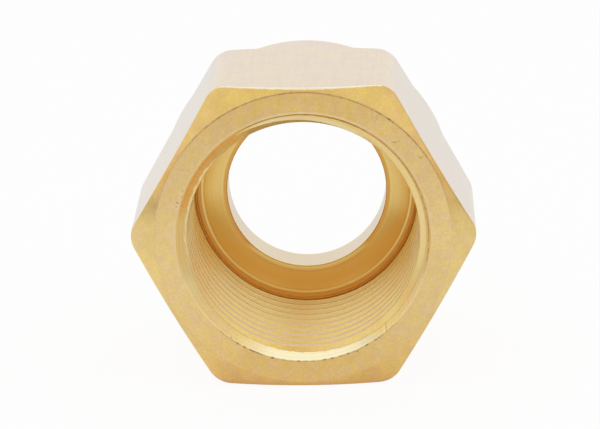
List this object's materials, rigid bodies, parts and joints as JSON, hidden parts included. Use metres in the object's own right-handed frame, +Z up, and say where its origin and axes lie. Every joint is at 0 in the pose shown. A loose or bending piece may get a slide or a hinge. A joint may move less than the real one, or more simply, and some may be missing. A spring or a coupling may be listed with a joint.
{
  "type": "gas regulator inlet nut",
  "caption": "Brass hexagon union nut with an internal inlet thread, a sloping seat and a smaller through hole for a nipple, and a short round neck at the back.",
  "frame": {"origin": "on the surface under the middle of the nut, which lies on one flat of its hexagon", "axes": "+Z up; the bore's axis runs along Y, 14 mm up, with the threaded mouth facing -Y and the neck towards +Y; X runs across the hexagon's corners"},
  "size_m": [0.0316, 0.025, 0.028],
  "materials": {
    "machined_brass": "turned, lightly satin"
  },
  "bodies": {
    "root": {"inlet_nut": "machined_brass"}
  },
  "joints": []
}
